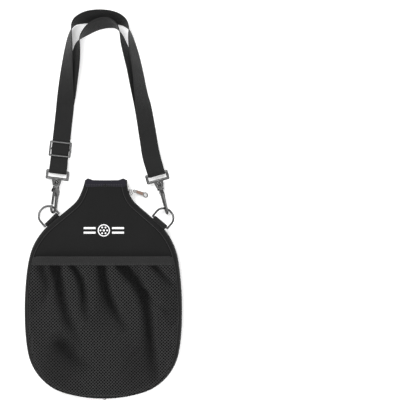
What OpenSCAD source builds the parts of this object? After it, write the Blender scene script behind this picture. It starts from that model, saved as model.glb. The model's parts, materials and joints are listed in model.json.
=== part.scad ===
// Padded racket cover with a gathered net pocket and a doubled, detachable shoulder strap.
// Millimetres. The cover lies on its back: +Z out of the front, +Y towards the neck,
// origin at the centre of the back panel's flat resting face.

/* [Cover] */
// Thickness of the closed cover over both padded panels
case_t = 26; // [22:1:32]
// Thickness of one padded panel
panel_t = 3.5; // [2.5:0.5:4.5]
// Thickness of the side gusset
gusset_t = 3; // [2:0.5:4]
// Sideways lean of the neck towards the zip
neck_lean = 2.4; // [0:0.2:4]
// Length of the doubled hem at the mouth
hem_h = 6.5; // [5:0.5:9]

/* [Zip] */
// Width of the strip that the zip takes up in the right gusset
zip_w = 9; // [8.6:0.2:11]
// Gap between the two coils, for the slider's post
coil_gap = 1.6; // [1.4:0.1:2]
// Place of the slider on the neck curve, as an angle about the curve's centre
slider_at = 200; // [196:1:206]

/* [Pocket] */
// Height of the pocket's top edge above the middle of the cover
pocket_top = 81.6; // [60:1:90]
// Room for balls between the front panel and the net
pocket_gap = 6; // [5:0.5:12]
// Width of the elastic band along the pocket's top
elastic_w = 11.4; // [8:0.2:14]

/* [Rings] */
// Inner width of the D-rings
ring_in = 24.2; // [22:0.2:27]
// Wire radius of the D-rings
ring_r = 1.5; // [1.2:0.1:1.8]
// Straight side of a D-ring, from its bar to the centre of its arc
ring_side = 10; // [8:0.5:12]

/* [Strap] */
// Width of the webbing
web_w = 25; // [24:0.5:26]
// Thickness of the webbing
web_t = 1.2; // [1:0.1:1.3]
// Distance that the adjuster can slide up the left leg
adjust_travel = 45; // [20:5:55]

/* [Hooks] */
// Half the width of the hook's bow, on the wire's centre line
bow_r = 5.2; // [5:0.1:5.6]
// Wire radius of the hook's bow
bow_wire = 1.8; // [1.5:0.1:1.9]
// Radius of the swivel's stem
stem_r = 2.1; // [1.8:0.1:2.4]

/* [Hidden] */
$fn = 48;

fabric = [0.13, 0.13, 0.14];
band_fabric = [0.18, 0.18, 0.19];
net = [0.24, 0.24, 0.25];
webbing = [0.2, 0.2, 0.21];
gunmetal = [0.42, 0.42, 0.43];
silver = [0.75, 0.74, 0.72];

eps = 0.01;

// ---------- outline of the cover ----------
// Arcs of the right half, from the mouth to the middle of the bottom:
// centre x, centre y, radius, first angle, last angle, steps, outward sense
neck_c = [76.2, 187.2];
neck_r = 45.1;
ARCS = [
    [neck_c[0], neck_c[1], neck_r, 176, 229, 10, -1],
    [15.1, 60, 92.6, 49, 13, 8, 1],
    [-373.6, 5.2, 485.1, 8.5, -6, 6, 1],
    [34.2, -40.4, 74.1, -9, -69, 10, 1],
    [0, 73.6, 193, -72.5, -90, 5, 1]
];

// Neck points move sideways as one, and the shoulders take up the rest
function lean(y) = neck_lean * lookup(y, [[60, 0], [100, 0.25], [150, 1], [200, 1]]);
// Each entry is [point, outward normal]
function arc_points(a) = [
    for (i = [0 : a[5]])
        let (t = a[3] + (a[4] - a[3]) * i / a[5], d = [cos(t), sin(t)])
        [[a[0], a[1]] + a[2] * d, a[6] * d]
];
half = [for (a = ARCS) each arc_points(a)];
last = len(half) - 1;
// Width of the visible edge band, between the silhouette and the front seam
function seam(y) = lookup(y, [[-105, 1.6], [-60, 5.6], [60, 5.6], [110, 7.8], [200, 7.8]]);

function side_point(h, s, d) =
    let (p = h[0] - d * h[1])
    [s * p[0] + lean(h[0][1]), p[1]];
function side_line(s, d) = [for (h = half) side_point(h, s, d)];
function side_seam(s, k) = [for (h = half) side_point(h, s, k * seam(h[0][1]))];
function flipped(v) = [for (i = [len(v) - 1 : -1 : 0]) v[i]];
// Closed outline, inset everywhere by d, or by a share k of the edge band's width
function outline(d) = concat(side_line(1, d), flipped([for (i = [0 : last - 1]) side_line(-1, d)[i]]));
function seam_outline(k) =
    concat(side_seam(1, k), flipped([for (i = [0 : last - 1]) side_seam(-1, k)[i]]));
// Strip along one side, from inset d0 to inset d1
function strip(s, d0, d1) = concat(side_line(s, d0), flipped(side_line(s, d1)));
function lip(s, k) = concat(side_seam(s, k), flipped(side_seam(s, 1)));

top_y = neck_c[1] + neck_r * sin(176);
mid_z = case_t / 2;
zip_lo = mid_z - zip_w / 2;
zip_hi = mid_z + zip_w / 2;
neck_right = [neck_c[0] + neck_lean, neck_c[1]];

module plate(points, z0, z1) {
    translate([0, 0, z0]) linear_extrude(z1 - z0) polygon(points);
}

module below_y(y) {
    translate([-200, y - 400, -50]) cube([400, 400, 100]);
}

module above_y(y) {
    translate([-200, y, -50]) cube([400, 100, 100]);
}

// Everything below the hem belongs to the panel, the rest to the hem
module panel(z0) {
    color(fabric) intersection() {
        plate(seam_outline(1), z0, z0 + panel_t);
        below_y(top_y - hem_h);
    }
}

module hem(z0) {
    color(band_fabric) intersection() {
        plate(seam_outline(0.35), z0, z0 + panel_t + 0.8);
        above_y(top_y - hem_h);
    }
}

// Side wall of the gusset with a lip that runs in to the panel's seam
module gusset_wall(s, z0, z1) {
    plate(strip(s, 0, gusset_t), z0, z1);
}

module gusset_lip(s, z0) {
    intersection() {
        plate(lip(s, 0.35), z0, z0 + panel_t);
        below_y(top_y - hem_h);
    }
}

module back_panel() { panel(0); }
module front_panel() { panel(case_t - panel_t); }
module neck_hem_back() { hem(0); }
module neck_hem_front() { translate([0, 0, -0.8]) hem(case_t - panel_t); }

module gusset_left() {
    color(band_fabric) union() {
        intersection() {
            gusset_wall(-1, panel_t, case_t - panel_t);
            below_y(top_y - hem_h);
        }
        intersection() {
            gusset_wall(-1, panel_t + 0.8, case_t - panel_t - 0.8);
            above_y(top_y - hem_h);
        }
        gusset_lip(-1, 0);
        gusset_lip(-1, case_t - panel_t);
    }
}

module gusset_right_front() {
    color(band_fabric) union() {
        intersection() {
            gusset_wall(1, zip_hi, case_t - panel_t);
            below_y(top_y - hem_h);
        }
        intersection() {
            gusset_wall(1, zip_hi, case_t - panel_t - 0.8);
            above_y(top_y - hem_h);
        }
        gusset_lip(1, case_t - panel_t);
    }
}

module gusset_right_back() {
    color(band_fabric) union() {
        intersection() {
            gusset_wall(1, panel_t, zip_lo);
            below_y(top_y - hem_h);
        }
        intersection() {
            gusset_wall(1, panel_t + 0.8, zip_lo);
            above_y(top_y - hem_h);
        }
        gusset_lip(1, 0);
    }
}

// ---------- zip ----------
tape_in = 1.8;
tape_out = 0.6;
coil_out = -1.2;
coil_w = 1.5;
coil_lo = mid_z - coil_gap / 2;
coil_hi = mid_z + coil_gap / 2;

module zipper_tape_front() {
    color(webbing) plate(strip(1, tape_out, tape_in), coil_hi, zip_hi);
}
module zipper_tape_back() {
    color(webbing) plate(strip(1, tape_out, tape_in), zip_lo, coil_lo);
}
module zipper_coil_front() {
    color(gunmetal) plate(strip(1, coil_out, tape_out), coil_hi, coil_hi + coil_w);
}
module zipper_coil_back() {
    color(gunmetal) plate(strip(1, coil_out, tape_out), coil_lo - coil_w, coil_lo);
}

// Puts something on the right neck curve: x outwards, -y down along the zip, z up
module on_neck(a) {
    translate([neck_right[0] + neck_r * cos(a), neck_right[1] + neck_r * sin(a), mid_z])
        rotate([0, 0, a + 180]) children();
}

stop_at = 188;
stop_w = 2.2;
module zipper_top_stops() {
    color(silver) for (s = [-1, 1])
        on_neck(stop_at)
            translate([1.7, 0, s * (coil_gap / 2 + coil_w / 2)])
                cube([0.9, 2.6, stop_w], center = true);
}

module zipper_bottom_stop() {
    stop_l = 3;
    color(silver) translate([stop_l / 2 + 0.5, half[last][0][1] - 1.9, mid_z])
        cube([stop_l, 1, coil_gap + 2 * coil_w + 0.6], center = true);
}

slider_w = 8;
slider_l = 9;
plate_out = 1.5;
plate_t = 1.4;
post_w = 1;
bridge_x = 5;
bridge_r = 0.5;

module zipper_slider() {
    color(silver) on_neck(slider_at) union() {
        translate([plate_out + plate_t / 2, 0, 0]) cube([plate_t, slider_l, slider_w], center = true);
        translate([-2.9, 0, 0]) cube([plate_t, slider_l, slider_w], center = true);
        translate([-0.4, 1.5, 0]) cube([3.9, 3, post_w], center = true);
        translate([bridge_x, 3, 0]) rotate([90, 0, 0]) cylinder(r = bridge_r, h = 6);
        for (s = [-1, 1])
            translate([plate_out + plate_t - eps, s * 3.2 - 0.5, -0.9])
                cube([bridge_x + bridge_r - plate_out - plate_t, 1, 1.8]);
    }
}

// The pull hangs from the slider's bridge by a wire link and droops to the surface
pull_droop = 30;
pull_yaw = -36;
link_r = 2.6;
link_wire = 0.55;
pull_l = 24;
pull_w = 6.4;
pull_t = 1.4;
pull_ring = 4;

module at_bridge() {
    on_neck(slider_at) translate([bridge_x, 0, 0]) rotate([0, pull_droop, 0]) children();
}

module pull_link() {
    color(silver) at_bridge()
        translate([link_r - bridge_r - link_wire - 0.15, 0, 0])
            rotate([90, 0, 0]) rotate_extrude() translate([link_r, 0]) circle(link_wire, $fn = 24);
}

module at_pull() {
    at_bridge()
        translate([2 * link_r - bridge_r - link_wire - 0.15, 0, 0]) rotate([0, 0, pull_yaw]) children();
}

// Flat tag: eye at the link, tapering shank, round hole at the far end
module pull_shape(shrink) {
    eye = 2.2 - shrink;
    circle(eye);
    polygon([[0, -eye], [pull_l - 6, -pull_w / 2 + shrink], [pull_l - 6, pull_w / 2 - shrink], [0, eye]]);
    translate([pull_l - 6, 0]) circle(pull_ring - shrink);
}

module zipper_pull() {
    color(silver) at_pull() difference() {
        translate([0, 0, -pull_t / 2]) linear_extrude(pull_t) pull_shape(0);
        translate([0, 0, -2]) cylinder(r = 1.1, h = 4);
        translate([pull_l - 6, 0, -2]) cylinder(r = 2.3, h = 4);
        translate([0, 0, pull_t / 2 - 0.4]) linear_extrude(2) inlay_shape(0);
    }
}

module inlay_shape(shrink) {
    polygon([
        [3, -1.5 + shrink], [pull_l - 10.5, -pull_w / 2 + 1.1 + shrink],
        [pull_l - 10.5, pull_w / 2 - 1.1 - shrink], [3, 1.5 - shrink]
    ]);
}

module pull_inlay() {
    color([0.5, 0.42, 0.37]) at_pull()
        translate([0, 0, pull_t / 2 - 0.4]) linear_extrude(0.6) inlay_shape(0);
}

// ---------- pocket ----------
pocket_z = case_t;
net_t = 1.2;
net_wall = 3;

// The net is closed at the sides and bottom and open along its top edge
module mesh_pocket() {
    color(net) intersection() {
        difference() {
            plate(seam_outline(1), pocket_z, pocket_z + pocket_gap + net_t);
            translate([0, 0, -0.001]) plate(pocket_inside(), pocket_z - 1, pocket_z + pocket_gap);
        }
        below_y(pocket_top - elastic_w);
    }
}

function pocket_inside() =
    let (v = [for (s = [1, -1]) [for (h = half) side_point(h, s, seam(h[0][1]) + net_wall)]])
    concat(v[0], flipped([for (i = [0 : last - 1]) v[1][i]]));

module pocket_elastic() {
    color(band_fabric) intersection() {
        difference() {
            plate(seam_outline(1), pocket_z, pocket_z + pocket_gap + net_t + 0.6);
            plate(pocket_inside(), pocket_z - 1, pocket_z + pocket_gap);
        }
        below_y(pocket_top);
        above_y(pocket_top - elastic_w);
    }
}

// A plain ball between two pairs of bars
emblem_at = [1.5, 119];
module front_emblem() {
    ball_r = 8.6;
    color("white") translate([emblem_at[0], emblem_at[1], case_t]) linear_extrude(0.5) {
        difference() {
            circle(ball_r);
            circle(1.7);
            for (i = [0 : 5])
                rotate(60 * i) translate([4.9, 0]) circle(1.4);
        }
        for (s = [-1, 1])
            for (k = [-1, 1])
                translate([s * 20 - 8.5, 3.2 * k - 1.4]) square([17, 2.8]);
    }
}

// ---------- D-rings ----------
ring_arc = ring_in / 2 + ring_r;
// Bar centre, heading of the ring, slope down to the hooks
RING_L = [[-73, 134, mid_z], 44, 26];
RING_R = [[80.9, 130.6, zip_hi + 1.2], -40, 28];
// Place on the ring's arc where its hook hangs
HOOK_ON_L = 9;
HOOK_ON_R = 116;

module at_ring(g) {
    translate(g[0]) rotate([0, 0, g[1]]) rotate([-g[2], 0, 0]) children();
}

function on_ring(g, a) =
    let (x = ring_arc * cos(a), y = ring_side + ring_arc * sin(a))
    g[0] + [
        x * cos(g[1]) - y * cos(g[2]) * sin(g[1]),
        x * sin(g[1]) + y * cos(g[2]) * cos(g[1]),
        -y * sin(g[2])
    ];

module d_ring(g) {
    color(gunmetal) at_ring(g) union() {
        translate([0, ring_side, 0]) rotate_extrude(angle = 180)
            translate([ring_arc, 0]) circle(ring_r, $fn = 32);
        for (s = [-1, 1])
            translate([s * ring_arc, 0, 0]) {
                rotate([-90, 0, 0]) cylinder(r = ring_r, h = ring_side);
                sphere(ring_r);
            }
        translate([-ring_arc, 0, 0]) rotate([0, 90, 0]) cylinder(r = ring_r, h = 2 * ring_arc);
    }
}

// Webbing folded round a ring's bar and sewn into the gusset's seam
tab_w = 22.6;
tab_play = 0.08;
module ring_tab(g) {
    hole = ring_r + tab_play;
    color(webbing) difference() {
        translate(g[0]) rotate([0, 0, g[1]]) difference() {
            union() {
                translate([-tab_w / 2, 0, 0]) rotate([0, 90, 0]) cylinder(r = hole + web_t, h = tab_w);
                translate([-tab_w / 2, -16, -web_t]) cube([tab_w, 16, 2 * web_t]);
            }
            translate([-tab_w, 0, 0]) rotate([0, 90, 0]) cylinder(r = hole, h = 2 * tab_w);
        }
        plate(outline(0), -1, case_t + 1);
        plate(strip(1, coil_out - 0.3, 0.5), coil_lo - coil_w - 0.3, coil_hi + coil_w + 0.3);
    }
}

module ring_tab_left() { ring_tab(RING_L); }
module ring_tab_right() { ring_tab(RING_R); }
module d_ring_left() { d_ring(RING_L); }
module d_ring_right() { d_ring(RING_R); }

// ---------- swivel hooks ----------
// Point on the ring, lean of the hook's axis from +Y (clockwise), roll about that axis
HOOK_L = [on_ring(RING_L, HOOK_ON_L), 7, 61];
HOOK_R = [on_ring(RING_R, HOOK_ON_R), -15.4, -81];

module at_hook(g) {
    translate(g[0]) rotate([0, 0, -g[1]]) rotate([0, g[2], 0]) children();
}
module at_loop(g) {
    translate(g[0]) rotate([0, 0, -g[1]]) children();
}

bow_y = -1.6;
nose_y = 3.4;
shank_r = 2.9;
collar_r = 4.9;
gate_pivot = [-4.3, 24.4];
pin_r = 0.8;
body_t = 5.6;
slot_t = 3.6;
gate_t = 2.2;
collar_y = 27.6;
stem_y = 31;
hub_top = 41;
ball_y = 36.4;
ball_r = 2.9;

module hook_body(g) {
    color(gunmetal) at_hook(g) difference() {
        union() {
            translate([0, bow_y, 0]) rotate([0, 0, 180]) rotate_extrude(angle = 180)
                translate([bow_r, 0]) circle(bow_wire, $fn = 32);
            translate([-bow_r, bow_y, 0]) rotate([-90, 0, 0]) cylinder(r = bow_wire, h = nose_y - bow_y);
            translate([bow_r, bow_y, 0]) rotate([-90, 0, 0])
                cylinder(r1 = bow_wire, r2 = shank_r, h = 22 - bow_y);
            translate([0, 0, -body_t / 2]) linear_extrude(body_t) polygon([
                [7, 18], [7, 23], [4, 28], [-4, 28], [-6.6, 25.6], [-6.6, 22.2], [-1.5, 21.8], [3.4, 16]
            ]);
            translate([0, collar_y, 0]) rotate([-90, 0, 0]) cylinder(r = collar_r, h = stem_y - collar_y);
            translate([0, collar_y, 0]) rotate([-90, 0, 0]) cylinder(r = stem_r, h = ball_y - collar_y);
            translate([0, ball_y, 0]) sphere(ball_r);
        }
        // Slot for the gate between two ears, and the pin's hole
        translate([-9, 10, -slot_t / 2]) cube([10.4, 16.6, slot_t]);
        translate([gate_pivot[0], gate_pivot[1], -5]) cylinder(r = pin_r, h = 10);
    }
}

module hook_gate(g) {
    gate_end = nose_y + 0.5;
    spring_room = (slot_t - gate_t) / 2 - 0.25;
    color(gunmetal) at_hook(g) translate([0, 0, spring_room]) difference() {
        union() {
            translate([0, 0, -gate_t / 2]) linear_extrude(gate_t) polygon([
                [gate_pivot[0] - 1.6, gate_pivot[1]], [gate_pivot[0] + 1.6, gate_pivot[1]],
                [-3.5, gate_end], [-6.3, gate_end], [-6.6, 14]
            ]);
            translate([gate_pivot[0], gate_pivot[1], -gate_t / 2]) cylinder(r = 1.7, h = gate_t);
        }
        translate([gate_pivot[0], gate_pivot[1], -5]) cylinder(r = pin_r + 0.05, h = 10);
    }
}

module gate_pin(g) {
    color(silver) at_hook(g) translate([gate_pivot[0], gate_pivot[1], -body_t / 2 - 0.2])
        cylinder(r = pin_r, h = body_t + 0.4);
}

// Torsion coil on the pin, beside the gate
module gate_spring(g) {
    color(silver) at_hook(g) translate([gate_pivot[0], gate_pivot[1], -slot_t / 2 + 0.1])
        difference() {
            cylinder(r = 1.5, h = 0.6);
            translate([0, 0, -1]) cylinder(r = pin_r + 0.1, h = 3);
        }
}

loop_w = 33.4;
loop_top = 51.5;
loop_bar = 1.9;
loop_low = 41.5;

module swivel_loop(g) {
    side = loop_w / 2 - loop_bar;
    color(gunmetal) at_loop(g) difference() {
        union() {
            for (y = [loop_low, loop_top])
                translate([-side, y, 0]) rotate([0, 90, 0]) cylinder(r = loop_bar, h = 2 * side);
            for (s = [-1, 1]) {
                translate([s * side, loop_low, 0]) rotate([-90, 0, 0])
                    cylinder(r = loop_bar, h = loop_top - loop_low);
                for (y = [loop_low, loop_top])
                    translate([s * side, y, 0]) sphere(loop_bar);
            }
            translate([0, 0, -3.4]) linear_extrude(6.8) polygon([
                [-5, stem_y + 0.3], [5, stem_y + 0.3], [7.2, hub_top], [-7.2, hub_top]
            ]);
        }
        translate([0, ball_y, -5]) cylinder(r = ball_r + 0.35, h = 10);
        translate([0, 25, 0]) rotate([-90, 0, 0]) cylinder(r = stem_r + 0.08, h = 10);
    }
}

module hook_body_left() { hook_body(HOOK_L); }
module hook_body_right() { hook_body(HOOK_R); }
module hook_gate_left() { hook_gate(HOOK_L); }
module hook_gate_right() { hook_gate(HOOK_R); }
module gate_pin_left() { gate_pin(HOOK_L); }
module gate_pin_right() { gate_pin(HOOK_R); }
module gate_spring_left() { gate_spring(HOOK_L); }
module gate_spring_right() { gate_spring(HOOK_R); }
module swivel_loop_left() { swivel_loop(HOOK_L); }
module swivel_loop_right() { swivel_loop(HOOK_R); }

// ---------- strap ----------
fold_r = loop_bar + 0.1;
fold_z = fold_r + web_t / 2;
function along(g, y) = g[0] + y * [sin(g[1]), cos(g[1]), 0];
BAR_L = along(HOOK_L, loop_top);
BAR_R = along(HOOK_R, loop_top);

leg_lean = 6.2;
leg_dir = [sin(leg_lean), cos(leg_lean)];
leg_z = 6.5;
under_z = 1;
// Centre of the adjuster, as a distance up the left leg from the loop's bar
glide_s = 32;
adjust_end = glide_s + adjust_travel + 14;
function leg(s) = [BAR_L[0] + s * leg_dir[0], BAR_L[1] + s * leg_dir[1]];

// Routes of the webbing's centre line: x, y, z and roll, where 0 lies flat and 90 stands on edge.
// The inner run is laid from right to left, so its rolls are below 0.
OUTER = [
    [BAR_L[0], BAR_L[1], BAR_L[2] + fold_z, 0],
    [leg(8)[0], leg(8)[1], 9.6, 0],
    [leg(17)[0], leg(17)[1], 7, 0],
    [leg(22)[0], leg(22)[1], leg_z, 0],
    [leg(80)[0], leg(80)[1], leg_z, 0],
    [leg(92)[0], leg(92)[1], leg_z, 0],
    [-54, 308, 7.6, 16],
    [-52.8, 330, 9, 33],
    [-51.3, 352, 10.8, 47],
    [-48.7, 380, 12.9, 63],
    [-46.2, 400, 14.2, 80],
    [-42.5, 411, 14.4, 98],
    [-36, 417, 14, 114],
    [-22, 421.5, 12.5, 130],
    [-3, 423, 11.5, 134],
    [16, 420.5, 12, 130],
    [29, 415, 13.5, 114],
    [36, 406, 14.6, 94],
    [38.3, 396, 14.2, 79],
    [41.6, 380, 13.4, 66],
    [45.2, 364, 12.9, 60],
    [49, 344, 12.6, 55],
    [52.6, 320, 12.2, 47],
    [56, 299, 11.4, 38],
    [60, 270, 8.4, 22],
    [64, 247, 6, 8],
    [68.5, 224, 8, 0],
    [BAR_R[0], BAR_R[1], BAR_R[2] + fold_z, 0]
];
INNER = [
    [BAR_R[0], BAR_R[1], BAR_R[2] - fold_z, 0],
    [67.7, 224, 2.4, 0],
    [64, 247, 1.8, -4],
    [60.4, 270, 3.6, -11],
    [55, 299, 5.3, -20],
    [47.6, 325, 9, -40],
    [40.4, 350, 11.4, -55],
    [34, 369, 12.4, -65],
    [28.5, 386, 13.2, -74],
    [24, 400, 13.8, -88],
    [17.5, 409.5, 13.6, -104],
    [7, 413.5, 12, -122],
    [-7, 411.5, 11.4, -126],
    [-20, 404.5, 12, -118],
    [-30.5, 394.5, 13.2, -98],
    [-36, 383, 12.8, -72],
    [-38.8, 367, 11.8, -58],
    [-42, 350, 10.2, -47],
    [-46.8, 330, 7.6, -32],
    [-51, 312, 4, -15],
    [leg(adjust_end + 6)[0], leg(adjust_end + 6)[1], 1.4, -3],
    [leg(adjust_end)[0], leg(adjust_end)[1], under_z, 0]
];

// Point on a smooth curve through a route, between entries i and i + 1. Each end's slope is
// weighted by the spacing of the entries, so that uneven spacing makes no loops.
function place(p) = [p[0], p[1], p[2]];
function gap(a, b) = norm(place(b) - place(a));
function spline(v, i, t) =
    let (
        n = len(v) - 1,
        a = v[max(i - 1, 0)],
        b = v[i],
        c = v[min(i + 1, n)],
        d = v[min(i + 2, n)],
        h = gap(b, c),
        from = (c - a) * h / (h + gap(a, b)),
        to = (d - b) * h / (h + gap(c, d))
    )
    b + t * from + t * t * (3 * (c - b) - 2 * from - to)
        + t * t * t * (from + to - 2 * (c - b));
function smooth(v, steps) = [
    for (i = [0 : len(v) - 2])
        for (k = [0 : steps - 1])
            spline(v, i, k / steps),
    v[len(v) - 1]
];
function unit(v) = v / norm(v);

// Corners of the webbing's section at one station of a route
function section(v, i) =
    let (
        n = len(v) - 1,
        t = unit(place(v[min(i + 1, n)]) - place(v[max(i - 1, 0)])),
        side = unit(cross(t, [0, 0, 1])),
        up = cross(side, t),
        w = (cos(v[i][3]) * side + sin(v[i][3]) * up) * web_w / 2,
        b = unit(cross(w, t)) * web_t / 2
    )
    [for (k = [[1, 1], [-1, 1], [-1, -1], [1, -1]]) place(v[i]) + k[0] * w + k[1] * b];

// Both flat faces are split along the same diagonal, which keeps the thickness where it twists.
module ribbon(route, steps) {
    v = smooth(route, steps);
    n = len(v);
    points = [for (i = [0 : n - 1]) each section(v, i)];
    sides = [
        for (i = [0 : n - 2])
            for (k = [0 : 3])
                let (
                    a = 4 * i + k,
                    b = 4 * i + (k + 1) % 4,
                    c = b + 4,
                    d = a + 4
                )
                each (k == 2 ? [[a, b, d], [b, c, d]] : [[a, b, c], [a, c, d]])
    ];
    e = 4 * (n - 1);
    caps = [[3, 2, 1], [3, 1, 0], [e, e + 1, e + 2], [e, e + 2, e + 3]];
    polyhedron(points, concat(sides, caps), convexity = 6);
}

module strap_outer_run() {
    color(webbing) ribbon(OUTER, 4);
}

module strap_inner_run() {
    color(webbing) ribbon(INNER, 4);
}

// Straight lower stretch of the inner run, which shortens as the adjuster climbs
module on_leg(s) {
    p = leg(s);
    translate([p[0], p[1], 0]) rotate([0, 0, -leg_lean]) children();
}

module strap_adjust_run() {
    s0 = glide_s + 0.1;
    color(webbing) on_leg(s0)
        translate([-web_w / 2, 0, under_z - web_t / 2]) cube([web_w, adjust_end - s0 - 0.05, web_t]);
}

// Half turn of webbing round a loop's bar
module fold_round(r) {
    rotate([0, 90, 0]) translate([0, 0, -web_w / 2]) difference() {
        cylinder(r = r + web_t, h = web_w);
        translate([0, 0, -1]) cylinder(r = r, h = web_w + 2);
        translate([-20, 0, -1]) cube([40, 20, web_w + 2]);
    }
}

module strap_fold_left() {
    color(webbing) at_loop(HOOK_L) translate([0, loop_top, 0]) union() {
        fold_round(fold_r);
        translate([-web_w / 2, -eps, -fold_r - web_t]) cube([web_w, 14, web_t]);
    }
}

module strap_fold_right() {
    color(webbing) at_loop(HOOK_R) translate([0, loop_top, 0]) fold_round(fold_r);
}

// Adjuster: outer bars over the outer run, middle bar under it
glide_w = 31.7;
glide_l = 22;
glide_bar = 1.3;
over_z = leg_z + web_t / 2 + 0.2 + glide_bar;
middle_z = leg_z - web_t / 2 - 0.3 - web_t - 0.1 - glide_bar;

module tri_glide() {
    side = glide_w / 2 - glide_bar;
    end = glide_l / 2 - glide_bar;
    color(gunmetal) on_leg(glide_s) union() {
        for (s = [-1, 1]) {
            translate([-side, s * end, over_z]) rotate([0, 90, 0]) cylinder(r = glide_bar, h = 2 * side);
            translate([s * side, -end, over_z]) rotate([-90, 0, 0]) cylinder(r = glide_bar, h = 2 * end);
            for (k = [-1, 1])
                translate([s * side, k * end, over_z]) sphere(glide_bar);
            translate([s * side, 0, middle_z]) cylinder(r = glide_bar, h = over_z - middle_z);
            translate([s * side, 0, middle_z]) sphere(glide_bar);
        }
        translate([-side, 0, middle_z]) rotate([0, 90, 0]) cylinder(r = glide_bar, h = 2 * side);
    }
}

module strap_fold_glide() {
    color(webbing) on_leg(glide_s) translate([0, 0, middle_z]) union() {
        fold_round(glide_bar + 0.1);
        translate([-web_w / 2, -eps, glide_bar + 0.1]) cube([web_w, 12, web_t]);
    }
}

back_panel();
front_panel();
gusset_left();
gusset_right_front();
gusset_right_back();
neck_hem_front();
neck_hem_back();
zipper_tape_front();
zipper_tape_back();
zipper_coil_front();
zipper_coil_back();
zipper_top_stops();
zipper_bottom_stop();
mesh_pocket();
pocket_elastic();
front_emblem();
ring_tab_left();
ring_tab_right();
d_ring_left();
d_ring_right();
zipper_slider();
pull_link();
zipper_pull();
pull_inlay();
strap_outer_run();
strap_inner_run();
strap_adjust_run();
strap_fold_left();
strap_fold_right();
swivel_loop_left();
swivel_loop_right();
tri_glide();
strap_fold_glide();
hook_body_left();
hook_body_right();
hook_gate_left();
hook_gate_right();
gate_pin_left();
gate_pin_right();
gate_spring_left();
gate_spring_right();
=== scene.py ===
import json
import math

import bmesh
import bpy
import numpy as np
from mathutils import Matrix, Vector


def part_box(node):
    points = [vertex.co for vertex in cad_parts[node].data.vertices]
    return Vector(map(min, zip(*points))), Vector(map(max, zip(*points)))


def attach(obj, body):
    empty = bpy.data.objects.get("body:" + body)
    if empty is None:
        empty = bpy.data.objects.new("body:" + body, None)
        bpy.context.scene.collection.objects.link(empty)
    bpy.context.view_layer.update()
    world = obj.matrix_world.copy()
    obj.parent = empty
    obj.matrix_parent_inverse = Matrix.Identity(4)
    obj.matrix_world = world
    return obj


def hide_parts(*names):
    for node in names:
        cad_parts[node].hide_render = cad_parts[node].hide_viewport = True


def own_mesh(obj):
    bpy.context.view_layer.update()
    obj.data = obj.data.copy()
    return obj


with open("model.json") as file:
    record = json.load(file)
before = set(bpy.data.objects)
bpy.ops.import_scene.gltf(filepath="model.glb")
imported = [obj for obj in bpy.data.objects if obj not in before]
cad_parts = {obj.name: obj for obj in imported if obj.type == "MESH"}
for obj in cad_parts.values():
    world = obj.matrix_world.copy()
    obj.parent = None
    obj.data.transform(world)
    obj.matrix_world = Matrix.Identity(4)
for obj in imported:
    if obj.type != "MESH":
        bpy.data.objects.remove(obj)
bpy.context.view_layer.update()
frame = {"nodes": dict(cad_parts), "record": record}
MM = 0.001


# ---------- camera and lights ----------
def make_camera():
    """Looks straight down, with the cover in the left half of the view."""
    data = bpy.data.cameras.new("camera")
    data.lens = 200
    data.sensor_width = 36
    data.clip_end = 20
    cam = bpy.data.objects.new("camera", data)
    cam.location = (0.1373, 0.1619, 3.165)
    bpy.context.scene.collection.objects.link(cam)
    bpy.context.scene.camera = cam


def area_light(name, place, aim, size, power):
    data = bpy.data.lights.new(name, "AREA")
    data.size = size
    data.energy = power
    lamp = bpy.data.objects.new(name, data)
    lamp.location = place
    lamp.rotation_euler = (Vector(aim) - Vector(place)).to_track_quat("-Z", "Y").to_euler()
    bpy.context.scene.collection.objects.link(lamp)


def make_lights():
    aim = (0, 0.15, 0)
    area_light("key", (-0.8, 1.1, 2.0), aim, 1.3, 46)
    area_light("fill", (1.4, 0.0, 1.6), aim, 1.0, 16)
    area_light("front", (-0.3, -1.5, 1.6), aim, 1.0, 17)
    world = bpy.data.worlds.new("world")
    world.use_nodes = True
    background = world.node_tree.nodes["Background"]
    background.inputs["Color"].default_value = (1, 1, 1, 1)
    background.inputs["Strength"].default_value = 0.5
    bpy.context.scene.world = world
    bpy.context.scene.view_settings.view_transform = "Standard"


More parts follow.
